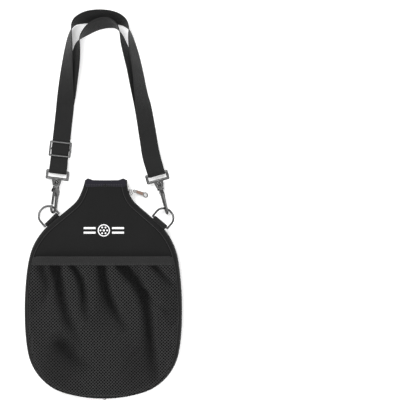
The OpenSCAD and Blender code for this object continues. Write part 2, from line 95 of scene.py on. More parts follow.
# ---------- materials ----------
class Shader:
    """A material with a principled shader and short ways to add nodes."""

    def __init__(self, name, rough=0.8, metal=0.0, sheen=0.0, spec=0.5, base=(0.1, 0.1, 0.1)):
        self.mat = bpy.data.materials.new(name)
        self.mat.use_nodes = True
        self.tree = self.mat.node_tree
        self.bsdf = self.tree.nodes["Principled BSDF"]
        self.bsdf.inputs["Base Color"].default_value = (*base, 1)
        self.bsdf.inputs["Roughness"].default_value = rough
        self.bsdf.inputs["Metallic"].default_value = metal
        self.bsdf.inputs["Sheen Weight"].default_value = sheen
        self.bsdf.inputs["Sheen Roughness"].default_value = 0.5
        self.bsdf.inputs["Specular IOR Level"].default_value = spec

    def node(self, kind, **values):
        made = self.tree.nodes.new(kind)
        for key, value in values.items():
            setattr(made, key, value)
        return made

    def link(self, a, b):
        self.tree.links.new(a, b)

    def coords(self, kind, scale=(1, 1, 1), turn=0.0):
        source = self.node("ShaderNodeTexCoord")
        mapping = self.node("ShaderNodeMapping")
        mapping.inputs["Scale"].default_value = scale
        mapping.inputs["Rotation"].default_value = (0, 0, turn)
        self.link(source.outputs[kind], mapping.inputs["Vector"])
        return mapping.outputs["Vector"]

    def noise(self, coords, scale, detail=3.0):
        made = self.node("ShaderNodeTexNoise")
        made.inputs["Scale"].default_value = scale
        made.inputs["Detail"].default_value = detail
        self.link(coords, made.inputs["Vector"])
        return made.outputs["Fac"]

    def wave(self, coords, scale, direction, distort=0.0):
        made = self.node("ShaderNodeTexWave", wave_type="BANDS", bands_direction=direction)
        made.inputs["Scale"].default_value = scale
        made.inputs["Distortion"].default_value = distort
        self.link(coords, made.inputs["Vector"])
        return made.outputs["Fac"]

    def math(self, how, a, b):
        made = self.node("ShaderNodeMath", operation=how)
        for socket, value in zip(made.inputs, (a, b)):
            if isinstance(value, (int, float)):
                socket.default_value = value
            else:
                self.link(value, socket)
        return made.outputs[0]

    def ramp(self, fac, stops):
        made = self.node("ShaderNodeValToRGB")
        ramp = made.color_ramp
        while len(ramp.elements) < len(stops):
            ramp.elements.new(0.5)
        for element, (at, color) in zip(ramp.elements, stops):
            element.position = at
            element.color = (*color, 1)
        self.link(fac, made.inputs["Fac"])
        return made.outputs["Color"]

    def color(self, fac, low, high):
        self.link(self.ramp(fac, [(0.25, low), (0.75, high)]), self.bsdf.inputs["Base Color"])

    def rough(self, fac, low, high):
        made = self.node("ShaderNodeMapRange")
        made.inputs["To Min"].default_value = low
        made.inputs["To Max"].default_value = high
        self.link(fac, made.inputs["Value"])
        self.link(made.outputs["Result"], self.bsdf.inputs["Roughness"])

    def bump(self, height, distance, strength=1.0):
        made = self.node("ShaderNodeBump")
        made.inputs["Distance"].default_value = distance
        made.inputs["Strength"].default_value = strength
        self.link(height, made.inputs["Height"])
        self.link(made.outputs["Normal"], self.bsdf.inputs["Normal"])


def jersey(name, low, high, sheen=0.03):
    """Fine knitted jersey over foam: small ribs, a little fuzz, broad shading."""
    s = Shader(name, rough=0.85, sheen=sheen, spec=0.12)
    at = s.coords("Object")
    broad = s.noise(at, 22, 4)
    fuzz = s.noise(at, 1400, 2)
    rib = s.wave(at, 260, "X", 2.5)
    course = s.wave(at, 200, "Y", 2.0)
    tone = s.math("ADD", s.math("MULTIPLY", broad, 0.55), s.math("MULTIPLY", fuzz, 0.45))
    s.color(tone, low, high)
    s.rough(broad, 0.7, 0.95)
    knit = s.math("ADD", s.math("MULTIPLY", rib, course), s.math("MULTIPLY", fuzz, 0.6))
    s.bump(knit, 0.00025, 0.7)
    return s.mat


def woven(name, low, high, rib_mm=0.9, rough=0.6, half_width=None):
    """Webbing: ribs along its length crossed by the weft, read from the piece's own lengths."""
    s = Shader(name, rough=rough, sheen=0.04, spec=0.2)
    at = s.coords("UV", (1000, 1000, 1))
    k = 1.0 / rib_mm
    warp_ribs = s.wave(at, k * 0.32, "X")
    twill = s.wave(s.coords("UV", (1000, 1000, 1), 0.6), k * 0.5, "Y")
    grain = s.noise(at, 1.6, 3)
    broad = s.noise(s.coords("UV", (40, 40, 1)), 1.2, 3)
    mix = s.math("ADD", s.math("MULTIPLY", twill, 0.35), s.math("MULTIPLY", grain, 0.65))
    if half_width:
        split = s.node("ShaderNodeSeparateXYZ")
        s.link(at, split.inputs[0])
        out = s.math("SUBTRACT", s.math("ABSOLUTE", split.outputs["X"], 0), half_width - 1.3)
        edge = s.math("MULTIPLY", s.math("GREATER_THAN", out, 0.0), 0.35)
        mix = s.math("ADD", mix, edge)
    s.color(mix, low, high)
    s.rough(broad, rough - 0.08, rough + 0.15)
    weave = s.math("ADD", s.math("MULTIPLY", warp_ribs, twill), s.math("MULTIPLY", grain, 0.4))
    s.bump(weave, 0.0003, 0.8)
    return s.mat


def metal(name, low, high, rough=0.35):
    """Plated die casting with a slight cast skin and rubbed high spots."""
    s = Shader(name, rough=rough, metal=1.0)
    at = s.coords("Object")
    broad = s.noise(at, 180, 4)
    fine = s.noise(at, 2200, 3)
    s.color(broad, low, high)
    wear = s.math("ADD", s.math("MULTIPLY", broad, 0.7), s.math("MULTIPLY", fine, 0.3))
    s.rough(wear, rough - 0.1, rough + 0.18)
    s.bump(fine, 0.00006, 0.6)
    return s.mat


def plastic(name, low, high, rough=0.45, fine_scale=1800):
    s = Shader(name, rough=rough, spec=0.5)
    at = s.coords("Object")
    fine = s.noise(at, fine_scale, 3)
    s.color(fine, low, high)
    s.rough(fine, rough - 0.08, rough + 0.12)
    s.bump(fine, 0.00008, 0.5)
    return s.mat


def net_thread(name, low, high):
    """Polyester net with painted light and shade in its thread colour: painted shade darkens it in
    its folds, and painted highlight lightens it where it stands clear.
    """
    s = Shader(name, rough=0.55, sheen=0.0, spec=0.12)
    # the fold attribute holds painted shade: it darkens the thread colour in the folds and lightens
    # it on their ridges
    fold = s.node("ShaderNodeAttribute", attribute_name="fold")
    grain = s.noise(s.coords("Object"), 900, 2)
    lit = s.math("SUBTRACT", 1.0, fold.outputs["Fac"])
    s.color(s.math("MULTIPLY", lit, s.math("ADD", 0.75, s.math("MULTIPLY", grain, 0.4))), low, high)
    s.rough(grain, 0.4, 0.65)
    s.bump(grain, 0.0001, 0.5)
    return s.mat


def grey(v, warm=0.0):
    return (v * (1 + warm), v, v * (1 - warm))


MATS = {
    "neoprene": jersey("neoprene", grey(0.0055), grey(0.0115)),
    "edge_band": jersey("edge_band", grey(0.0055), grey(0.011), 0.03),
    "hem": jersey("hem", (0.01, 0.0095, 0.0135), (0.019, 0.0175, 0.0245), 0.05),
    "zip_tape": woven("zip_tape", grey(0.005), grey(0.011), 0.6),
    "zip_coil": plastic("zip_coil", grey(0.006), grey(0.012), 0.35),
    "net": net_thread("net", grey(0.003), grey(0.042)),
    "elastic": woven("elastic", grey(0.01), grey(0.024), 0.8, 0.75),
    "print": plastic("print", grey(0.8), grey(0.9), 0.6),
    "webbing": woven("webbing", grey(0.0048), grey(0.0112), 0.9, half_width=12.5),
    "gunmetal": metal("gunmetal", grey(0.08), grey(0.145), 0.27),
    "silver_metal": metal("silver_metal", grey(0.33, 0.02), grey(0.5, 0.02), 0.25),
    "inlay": plastic("inlay", (0.17, 0.105, 0.08), (0.24, 0.155, 0.12), 0.4),
    "thread": plastic("thread", grey(0.03), grey(0.05), 0.6, 3000),
    "binding": jersey("binding", grey(0.016), grey(0.029), 0.08),
    # near-black: painted shade for the recess beside each seam
    "painted_seam_shade": jersey("painted_seam_shade", grey(0.0015), grey(0.003), 0.0),
}


# ---------- mesh helpers ----------
def add_mesh(name, verts, faces, slot, body, uvs=None, mat=None):
    """verts are in millimetres; uvs, one per vertex, are in metres along the cloth."""
    data = bpy.data.meshes.new(name)
    data.from_pydata([tuple(float(c) * MM for c in v) for v in verts], [], faces)
    if uvs is not None:
        layer = data.uv_layers.new(name="cloth")
        for loop in data.loops:
            layer.data[loop.index].uv = uvs[loop.vertex_index]
    data.materials.append(MATS[mat or slot])
    data.shade_smooth()
    obj = bpy.data.objects.new(name, data)
    bpy.context.scene.collection.objects.link(obj)
    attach(obj, body)
    return obj


def modifier(obj, kind, **values):
    made = obj.modifiers.new(kind.lower(), kind)
    for key, value in values.items():
        setattr(made, key, value)
    return made


def grid_faces(rows, cols, wrap=False):
    """Quads of a rows by cols grid of vertices; wrap closes each row into a ring."""
    faces = []
    for r in range(rows - 1):
        for c in range(cols if wrap else cols - 1):
            d = (c + 1) % cols
            faces.append((r * cols + c, r * cols + d, (r + 1) * cols + d, (r + 1) * cols + c))
    return faces


def tube_faces(rings, sides):
    """A closed tube: rings joined around, with a cap at each end."""
    faces = grid_faces(rings, sides, True)
    faces.append(tuple(range(sides))[::-1])
    faces.append(tuple((rings - 1) * sides + k for k in range(sides)))
    return faces


def outwards(obj):
    """Makes every face of a closed mesh face outwards."""
    bm = bmesh.new()
    bm.from_mesh(obj.data)
    bmesh.ops.recalc_face_normals(bm, faces=bm.faces)
    bm.to_mesh(obj.data)
    bm.free()
    return obj


def wire(name, paths, radius, slot, body, sides=6, mat=None):
    """Round threads or wires along lists of points, as one mesh of closed tubes."""
    verts, faces = [], []
    for path in paths:
        p = np.asarray(path, float)
        t = slopes(p)
        ref = np.where(np.abs(t[:, 2:3]) > 0.9, [[1.0, 0, 0]], [[0, 0, 1.0]])
        a = np.cross(t, ref)
        a /= np.linalg.norm(a, axis=1)[:, None]
        b = np.cross(a, t)
        base = len(verts)
        for i in range(len(p)):
            for k in range(sides):
                w = 2 * math.pi * k / sides
                verts.append(p[i] + radius * (math.cos(w) * a[i] + math.sin(w) * b[i]))
        faces += [tuple(base + v for v in f) for f in tube_faces(len(p), sides)]
    return outwards(add_mesh(name, verts, faces, slot, body, mat=mat))


def lengths(p):
    """Length along a line of points up to each of them."""
    gaps = np.linalg.norm(np.diff(p, axis=0), axis=1)
    return np.concatenate([[0], np.cumsum(gaps)])


def slopes(p):
    """Unit direction of a line of points at each of them."""
    t = np.gradient(p, axis=0)
    return t / np.linalg.norm(t, axis=1)[:, None]


def resample(path, step):
    """Points at even steps along a line."""
    p = np.asarray(path, float)
    s = lengths(p)
    count = max(2, int(round(s[-1] / step)) + 1)
    at = np.linspace(0, s[-1], count)
    return np.stack([np.interp(at, s, p[:, k]) for k in range(3)], 1)


def stitches(name, lines, body, long=2.3, gap=1.1, radius=0.24, slot="webbing", mat="thread"):
    """Short thread dashes along lines of points."""
    dashes = []
    for line in lines:
        p = resample(line, 0.5)
        every = max(2, int(round((long + gap) / 0.5)))
        keep = max(3, int(round(long / 0.5)) + 1)
        for i in range(0, len(p) - keep, every):
            dash = p[i:i + keep].copy()
            dash[0, 2] -= 0.25
            dash[-1, 2] -= 0.25
            dashes.append(dash)
    return wire(name, dashes, radius, slot, body, 5, mat)


# ---------- outline of the cover ----------
NECK = (76.2, 187.2, 45.1)
LEAN = 2.4
ARCS = [
    (*NECK, 176, 229, 40, -1),
    (15.1, 60, 92.6, 49, 13, 30, 1),
    (-373.6, 5.2, 485.1, 8.5, -6, 40, 1),
    (34.2, -40.4, 74.1, -9, -69, 50, 1),
    (0, 73.6, 193, -72.5, -90, 40, 1),
]
CASE_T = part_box("front_panel")[1][2] / MM
MID = CASE_T / 2
ZIP_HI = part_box("zipper_tape_front")[1][2] / MM
ZIP_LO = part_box("zipper_tape_back")[0][2] / MM


def arc_rows():
    """Points and outward normals of the right half, from the mouth to the middle of the bottom."""
    points, normals = [], []
    for cx, cy, r, a0, a1, steps, sense in ARCS:
        for i in range(steps + 1):
            t = math.radians(a0 + (a1 - a0) * i / steps)
            d = np.array([math.cos(t), math.sin(t)])
            points.append(np.array([cx, cy]) + r * d)
            normals.append(sense * d)
    points, normals = np.array(points), np.array(normals)
    # the arcs meet in slight corners, which cloth would round off
    for _ in range(30):
        points[1:-1] = 0.25 * points[:-2] + 0.5 * points[1:-1] + 0.25 * points[2:]
        normals[1:-1] = 0.25 * normals[:-2] + 0.5 * normals[1:-1] + 0.25 * normals[2:]
    normals /= np.linalg.norm(normals, axis=1)[:, None]
    return points, normals


HALF, NORMAL = arc_rows()
SEAM_Y = (-105, -60, 60, 110, 200)
SEAM_W = (1.6, 5.6, 5.6, 7.8, 7.8)


def lean(y):
    return LEAN * np.interp(y, (60, 100, 150, 200), (0, 0.25, 1, 1))


def seam(y):
    return np.interp(y, SEAM_Y, SEAM_W)


def edge_line(side, inset):
    """The outline of one side, inset by a number or by one number per row."""
    p = HALF - NORMAL * np.broadcast_to(inset, len(HALF))[:, None]
    x = side * p[:, 0] + lean(HALF[:, 1])
    if side < 0:
        # the zip holds the right side out, while the left side closes in at the mouth
        x = x + 3 * np.clip((HALF[:, 1] - 170) / 20, 0, 1) ** 1.5
    return np.stack([x, p[:, 1]], 1)


RIM = np.concatenate([edge_line(1, 0), edge_line(-1, 0)[::-1]])
TOP_Y = HALF[0, 1]


def rim_distance(xy):
    """Distance of each point from the silhouette's sides and bottom."""
    xy = np.asarray(xy, float)
    out = np.empty(len(xy))
    for i in range(0, len(xy), 4000):
        part = xy[i:i + 4000]
        out[i:i + 4000] = np.sqrt(((part[:, None] - RIM[None]) ** 2).sum(2).min(1))
    return out


def bell(x, width):
    return np.exp(-((x / width) ** 2))


def panel_height(xy):
    """Height of the front panel: crowned foam that dips to its seam and sags in slow waves."""
    xy = np.asarray(xy, float)
    x, y = xy[:, 0], xy[:, 1]
    inside = np.maximum(rim_distance(xy) - seam(y), 0)
    crown = 1.9 * (1 - np.exp(-inside / 16)) + 0.8 * (1 - np.exp(-inside / 50))
    waves = 0.35 * np.sin(x / 23 + 1.3) * np.sin(y / 31) * (1 - np.exp(-inside / 20))
    pull = -0.8 * bell(y - 84, 10) * (1 - np.exp(-inside / 12))
    return CASE_T - 1.3 + crown + waves + pull


# ---------- panels ----------
FOAM_T = 3.5


def panel(name, node, height):
    """A foam panel: rows across the cover from seam to seam, closed at its full thickness."""
    left, right = (edge_line(side, seam(HALF[:, 1]) + 0.9) for side in (-1, 1))
    keep = left[:, 1] < TOP_Y - 4.5
    left, right = left[keep][::2], right[keep][::2]
    cols = 61
    u = 0.5 - 0.5 * np.cos(np.linspace(0, math.pi, cols))
    xy = (left[:, None] * (1 - u[None, :, None]) + right[:, None] * u[None, :, None]).reshape(-1, 2)
    top, under = height(xy)
    n, rows = len(xy), len(left)
    verts = np.concatenate([np.column_stack([xy, top]), np.column_stack([xy, under])])
    faces = grid_faces(rows, cols)
    faces += [tuple(n + v for v in f[::-1]) for f in faces]
    ring = list(range(cols))
    ring += [r * cols + cols - 1 for r in range(1, rows)]
    ring += [(rows - 1) * cols + c for c in range(cols - 2, -1, -1)]
    ring += [r * cols for r in range(rows - 2, 0, -1)]
    for a, b in zip(ring, ring[1:] + ring[:1]):
        faces.append((a, b, n + b, n + a))
    uvs = [(v[0] * MM, v[1] * MM) for v in verts]
    obj = outwards(add_mesh(name, verts, faces, "neoprene", "cover", uvs=uvs))
    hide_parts(node)
    return obj


def front_height(xy):
    top = panel_height(xy)
    inside = np.maximum(rim_distance(xy) - seam(xy[:, 1]), 0)
    return top, np.minimum(top - 1.0, CASE_T - FOAM_T + 0.5 * bell(inside, 4))


def back_height(xy):
    inside = np.maximum(rim_distance(xy) - seam(xy[:, 1]), 0)
    under = 1.5 * np.exp(-inside / 3.0)
    return np.maximum(under + 1.0, FOAM_T - 0.4 * bell(inside, 4)), under


# ---------- edge bands ----------
def band(name, node, side, profile, slot="edge_band"):
    """A strip along one side. profile lists (share of the seam's inset, extra inset, height)."""
    rows, cols = len(HALF), len(profile)
    lines = [edge_line(side, share * seam(HALF[:, 1]) + extra) for share, extra, _ in profile]
    verts, uvs = [], []
    run = lengths(lines[cols // 2])
    for r in range(rows):
        for c in range(cols):
            verts.append((*lines[c][r], profile[c][2]))
            uvs.append((c * 0.002, run[r] * MM))
    obj = outwards(add_mesh(name, verts, tube_faces(rows, cols), slot, "cover", uvs=uvs))
    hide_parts(node)
    return obj


def rounded(z_edge, z_seam, steps=9):
    """Half of a soft edge's section, from the silhouette to the seam."""
    out = []
    for i in range(steps + 1):
        t = math.pi / 2 * i / steps
        out.append((1 - math.cos(t), 0.0, z_edge + (z_seam - z_edge) * math.sin(t) ** 0.85))
    return out


def make_bands():
    tuck = 0.6
    front_seam, back_seam = CASE_T - 0.9, 0.9
    left = rounded(MID, front_seam)[::-1] + rounded(MID, back_seam)[1:]
    inner = [(1.0, tuck, 2.2), (0.5, 1.8, 5.0), (0, 2.8, MID)]
    inner += [(0.5, 1.8, CASE_T - 5), (1.0, tuck, CASE_T - 2.2)]
    band("edge_band_left", "gusset_left", -1, left + inner)
    front = rounded(ZIP_HI - 1.0, front_seam)[::-1]
    inner = [(0, 1.6, ZIP_HI - 0.8), (0.3, 2.0, ZIP_HI + 2.5), (1.0, tuck, CASE_T - 2.2)]
    band("edge_band_right_front", "gusset_right_front", 1, front + inner)
    back = rounded(ZIP_LO + 1.0, back_seam)
    inner = [(1.0, tuck, 2.2), (0.3, 2.0, ZIP_LO - 2.5), (0, 1.6, ZIP_LO + 0.8)]
    band("edge_band_right_back", "gusset_right_back", 1, back + inner)


def make_piping():
    """The turned edge along the front and back seams, and beside it a sunk near-black tube that
    paints the shade in the recess there.
    """
    for name, z in (("front", CASE_T - 0.75), ("back", 0.75)):
        for part, inset, drop, radius, mat in (
            ("piping", -0.5, 0.0, 0.55, "binding"),
            # a near-black tube: painted shade along the recess beside the seam
            ("painted_seam_shade", 0.55, 0.75, 0.5, "painted_seam_shade"),
        ):
            lines = []
            for side in (-1, 1):
                p = edge_line(side, seam(HALF[:, 1]) + inset)
                sunk = z + (drop if z < MID else -drop)
                lines.append(np.column_stack([p, np.full(len(p), sunk)]))
            wire(f"{name}_seam_{part}", lines, radius, "edge_band", "cover", 8, mat)


# ---------- hem at the mouth ----------
def hem(name, node, z):
    """A doubled hem: a flat rolled section across the neck with a raised corner at each end."""
    half_y, half_z, cols, ring = 5.2, 2.2, 97, 24
    left, right = edge_line(-1, 0.9)[0], edge_line(1, 0.9)[0]
    verts, uvs = [], []
    for c in range(cols):
        u = c / (cols - 1)
        x = left[0] * (1 - u) + right[0] * u
        corner = bell(u - 0.07, 0.07) + bell(0.93 - u, 0.07)
        shrink = math.sqrt(1 - 0.93 * (max(0, abs(2 * u - 1) - 0.9) / 0.1) ** 2)
        sag = 0.5 * math.sin(math.pi * u)
        for k in range(ring):
            w = 2 * math.pi * k / ring
            cy, cz = math.cos(w), math.sin(w)
            y = TOP_Y - half_y + math.copysign(abs(cy) ** 0.6, cy) * half_y * shrink
            y += 2.1 * corner * (0.5 + 0.5 * cy) - sag * (0.5 + 0.5 * cy)
            verts.append((x, y, z + math.copysign(abs(cz) ** 0.7, cz) * half_z * shrink))
            uvs.append((x * MM, k * 0.001))
    obj = outwards(add_mesh(name, verts, tube_faces(cols, ring), "hem", "cover", uvs=uvs))
    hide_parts(node)


def make_hems():
    hem("hem_front", "neck_hem_front", CASE_T - 1.9)
    hem("hem_back", "neck_hem_back", 2.2)
    lines = []
    for y in (TOP_Y - 8.7, TOP_Y - 6.7):
        lines.append([(x, y, CASE_T + 0.25) for x in np.linspace(-24, 31, 30)])
    stitches("hem_stitching", lines, "cover", slot="hem")


# ---------- zip ----------
COIL_MID = 1.6  # from the middle plane to the middle of each coil
COIL_PITCH, COIL_STEP, COIL_WIRE = 1.35, 0.3, 0.3


def make_zip():
    for name, node, z0, z1 in (
        ("zip_tape_upper", "zipper_tape_front", MID + 0.8, ZIP_HI + 1),
        ("zip_tape_lower", "zipper_tape_back", ZIP_LO - 1, MID - 0.8),
    ):
        profile = [(0, 0.6, z0), (0, 0.6, z1), (0, 1.4, z1)]
        profile += [(0, 1.5, (z0 + z1) / 2), (0, 1.4, z0)]
        band(name, node, 1, profile, "zip_tape")
    path = edge_line(1, 0.0)
    path = resample(np.column_stack([path, np.zeros(len(path))]), COIL_STEP)
    w = np.arange(len(path)) * COIL_STEP * (2 * math.pi / COIL_PITCH)
    t = slopes(path)
    out = np.column_stack([-t[:, 1], t[:, 0], np.zeros(len(t))])
    for name, node, sign in (
        ("zip_coil_upper", "zipper_coil_front", 1),
        ("zip_coil_lower", "zipper_coil_back", -1),
    ):
        coil = path + out * (0.45 * np.sin(w) + 0.1)[:, None]
        coil[:, 2] = MID + sign * (COIL_MID + 0.55 * np.cos(w))
        obj = wire(name, [coil], COIL_WIRE, "zip_coil", "cover", 5)
        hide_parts(node)


# ---------- pocket ----------
POCKET_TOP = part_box("pocket_elastic")[1][1] / MM
ELASTIC_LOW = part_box("pocket_elastic")[0][1] / MM
# Folds of the net: points down its length, half width and depth at the elastic
FOLDS = [
    ([(-68, 70), (-63, 45), (-57, 15), (-51, -6), (-40, -30), (-28, -46)], 7.0, 3.4),
    ([(-45, 70), (-33, 52), (-28, 30), (-28, 2), (-24, -12)], 5.5, 2.8),
    ([(-2, 70), (2, 42), (10, 18), (22, -6), (34, -24)], 6.0, 3.0),
    ([(25, 70), (42, 52), (54, 32), (61, 5), (66, -40), (73, -98)], 6.5, 3.4),
    ([(46, 70), (56, 54), (60, 38)], 3.5, 1.8),
    ([(72, 70), (84, 54), (98, 38)], 4.5, 2.2),
    ([(-88, 66), (-80, 40), (-84, 10)], 5.0, 1.6),
    ([(62, 30), (76, 10), (92, -2)], 5.0, 1.5),
    ([(-60, -40), (-40, -62), (-10, -78)], 9.0, 1.5),
]


def fold_places(xy, fold):
    """How far each point is across a fold, how far down it, and the fold's direction across."""
    line = resample([(x, y, 0) for x, y in fold[0]], 2.0)[:, :2]
    for _ in range(25):
        line[1:-1] = 0.25 * line[:-2] + 0.5 * line[1:-1] + 0.25 * line[2:]
    t = slopes(line)
    n = np.column_stack([-t[:, 1], t[:, 0]])
    near = ((xy[:, None] - line[None]) ** 2).sum(2).argmin(1)
    off = xy - line[near]
    along = (off * t[near]).sum(1)
    down = near / (len(line) - 1)
    fade = np.clip(1 - down, 0, 1) ** 0.55
    ends = (near == 0) | (near == len(line) - 1)
    fade = fade * np.where(ends, bell(along, 10), 1)
    return (off * n[near]).sum(1), fade, n[near]


def crease_depth(xy):
    """Soft folds that run down from the elastic and fade out."""
    out = np.zeros(len(xy))
    for fold in FOLDS:
        across, fade, _ = fold_places(xy, fold)
        width, depth = fold[1:]
        # a valley with a ridge on the side of the larger x, as a fold has
        out += depth * fade * (bell(across, width) - 0.8 * bell(across - 1.8 * width, width))
    return out


def shade(xy):
    """Painted shade of the net, from 0 to 1: darker in its folds, with a painted highlight on the
    ridges beside them and slow waves of painted shade across the pocket.
    """
    out = np.full(len(xy), 0.24)
    for fold in FOLDS:
        across, fade, _ = fold_places(xy, fold)
        width, depth = fold[1:]
        # the ridge term lowers the painted shade, a painted highlight beside each fold
        ridge = bell(across - 2.3 * width, 1.1 * width)
        out += 0.24 * depth * fade * (bell(across, 1.35 * width) - 0.5 * ridge)
    out += 0.14 * np.sin(xy[:, 0] / 17 + 2) * np.sin(xy[:, 1] / 27 + 1)
    return np.clip(out, 0, 1)


def within(xy):
    """True inside the silhouette, which the rim distance alone doesn't tell."""
    wide = np.interp(xy[:, 1], HALF[::-1, 1], HALF[::-1, 0])
    return (xy[:, 1] > HALF[:, 1].min() + 1) & (np.abs(xy[:, 0] - lean(xy[:, 1])) < wide)


def warp(xy):
    """Draws the net sideways into its folds, so that the cells close up there."""
    out = xy.copy()
    for fold in FOLDS:
        across, fade, n = fold_places(xy, fold)
        width, depth = fold[1:]
        pull = 0.16 * depth * across / width * bell(across, 2.3 * width) * fade
        out -= pull[:, None] * n * width / 4
    return out


def net_height(xy):
    xy = np.asarray(xy, float)
    inside = np.maximum(rim_distance(xy) - seam(xy[:, 1]), 0)
    rise = 1 - np.exp(-inside / 14)
    top = np.clip((xy[:, 1] + 110) / 190, 0, 1)
    lift = rise * (1.2 + 5.2 * top ** 0.7)
    gather = 0.35 * np.sin(xy[:, 0] / 2.1 + 1.2 * np.sin(xy[:, 0] / 13))
    gather = gather * bell(xy[:, 1] - ELASTIC_LOW, 9)
    # the stretched elastic holds the net level, so the folds only open out below it
    taut = 1 - 0.88 * np.clip((xy[:, 1] - 54) / 14, 0, 1)
    return panel_height(xy) + 0.6 + lift + gather - crease_depth(xy) * rise * taut


CLOTH_FRAMES, CLOTH_SHIFT = 16, 3.5  # the shift is the most that any point may move


def settle_net(panel_obj):
    """Lets the net sag as cloth, held along its edges and lying on the panel.

    Returns a function that gives the cloth's shift at any points, in millimetres.
    """
    step, x0, y0 = 3.5, -108.0, -122.0
    nx, ny = 62, 57
    xy = np.array([(x0 + c * step, y0 + r * step) for r in range(ny) for c in range(nx)])
    inside = within(xy) & (rim_distance(xy) > seam(xy[:, 1])) & (xy[:, 1] < ELASTIC_LOW + 1.5)
    grid = inside.reshape(ny, nx)
    core = grid.copy()
    beside = grid[:-2, 1:-1] & grid[2:, 1:-1] & grid[1:-1, :-2] & grid[1:-1, 2:]
    core[1:-1, 1:-1] = grid[1:-1, 1:-1] & beside
    start = np.column_stack([xy, net_height(xy)])
    ids = np.flatnonzero(inside)
    index = {int(v): i for i, v in enumerate(ids)}
    faces = [f for f in grid_faces(ny, nx) if all(v in index for v in f)]
    data = bpy.data.meshes.new("net_settling")
    faces = [tuple(index[v] for v in f) for f in faces]
    data.from_pydata([tuple(v * MM) for v in start[ids]], [], faces)
    obj = bpy.data.objects.new("net_settling", data)
    bpy.context.scene.collection.objects.link(obj)
    held = obj.vertex_groups.new(name="held")
    held.add([index[int(v)] for v in ids if not core.ravel()[v]], 1.0, "REPLACE")
    cloth = modifier(obj, "CLOTH")
    cloth.settings.quality = 6
    cloth.settings.mass = 0.05
    cloth.settings.tension_stiffness = cloth.settings.compression_stiffness = 12
    cloth.settings.bending_stiffness = 0.4
    cloth.settings.vertex_group_mass = "held"
    cloth.settings.shrink_min = -0.03
    cloth.collision_settings.distance_min = 0.0006
    cloth.point_cache.frame_end = CLOTH_FRAMES
    ground = modifier(panel_obj, "COLLISION")
    panel_obj.collision.thickness_outer = 0.0005
    scene = bpy.context.scene
    for i in range(1, CLOTH_FRAMES + 1):
        scene.frame_set(i)
    shape = obj.evaluated_get(bpy.context.evaluated_depsgraph_get()).data
    now = np.array([v.co[:] for v in shape.vertices]) / MM
    shift = np.zeros((nx * ny, 3))
    shift[ids] = np.clip(now - start[ids], -CLOTH_SHIFT, CLOTH_SHIFT)
    shift = shift.reshape(ny, nx, 3)
    scene.frame_set(1)
    panel_obj.modifiers.remove(ground)
    bpy.data.objects.remove(obj)

    def at(points):
        c = np.clip((points[:, 0] - x0) / step, 0, nx - 1.001)
        r = np.clip((points[:, 1] - y0) / step, 0, ny - 1.001)
        ci, ri = c.astype(int), r.astype(int)
        u, v = (c - ci)[:, None], (r - ri)[:, None]
        low = shift[ri, ci] * (1 - u) + shift[ri, ci + 1] * u
        high = shift[ri + 1, ci] * (1 - u) + shift[ri + 1, ci + 1] * u
        return low * (1 - v) + high * v

    return at


NET_PITCH, THREAD_R, THREAD_SIDES = 2.25, 0.44, 6


def make_net(panel_obj):
    """Diamond net of round threads, held at the seam and gathered under the elastic."""
    pitch = NET_PITCH
    top = ELASTIC_LOW + 1.5
    low = HALF[:, 1].min() + 1.6
    settled = settle_net(panel_obj)
    paths, folds = [], []
    n = int((top - low) / pitch * 2)
    t = np.arange(n + 1) * pitch / 2
    for family, first in ((-1, 8), (1, -55)):
        for k in range(-62, 108):
            # one thread: goes down one row and across one column at every knot
            start = (k + first) * 2 * pitch
            moved = warp(np.column_stack([family * t + start, top - t]))
            inside = (rim_distance(moved) > seam(moved[:, 1]) - 0.3) & within(moved)
            knot = 0.34 * np.cos(math.pi * t / pitch) * family
            thread = np.column_stack([moved, net_height(moved) + knot])
            if settled:
                thread += settled(moved)
                thread[:, 2] = np.maximum(thread[:, 2], panel_height(thread[:, :2]) + 0.5)
            # painted shade at each knot of the thread, for its colour
            fold = shade(moved)
            run = []
            for i in range(n + 1):
                if inside[i]:
                    run.append(i)
                if (not inside[i] or i == n) and run:
                    if len(run) > 3:
                        paths.append(thread[run])
                        folds.append(fold[run])
                    run = []
    obj = wire("pocket_net", paths, THREAD_R, "net", "cover", THREAD_SIDES)
    # the fold attribute carries the painted shade into the net's material
    layer = obj.data.attributes.new("fold", "FLOAT", "POINT")
    shades = np.repeat(np.concatenate(folds), THREAD_SIDES)
    layer.data.foreach_set("value", shades.astype(np.float32))
    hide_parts("mesh_pocket")


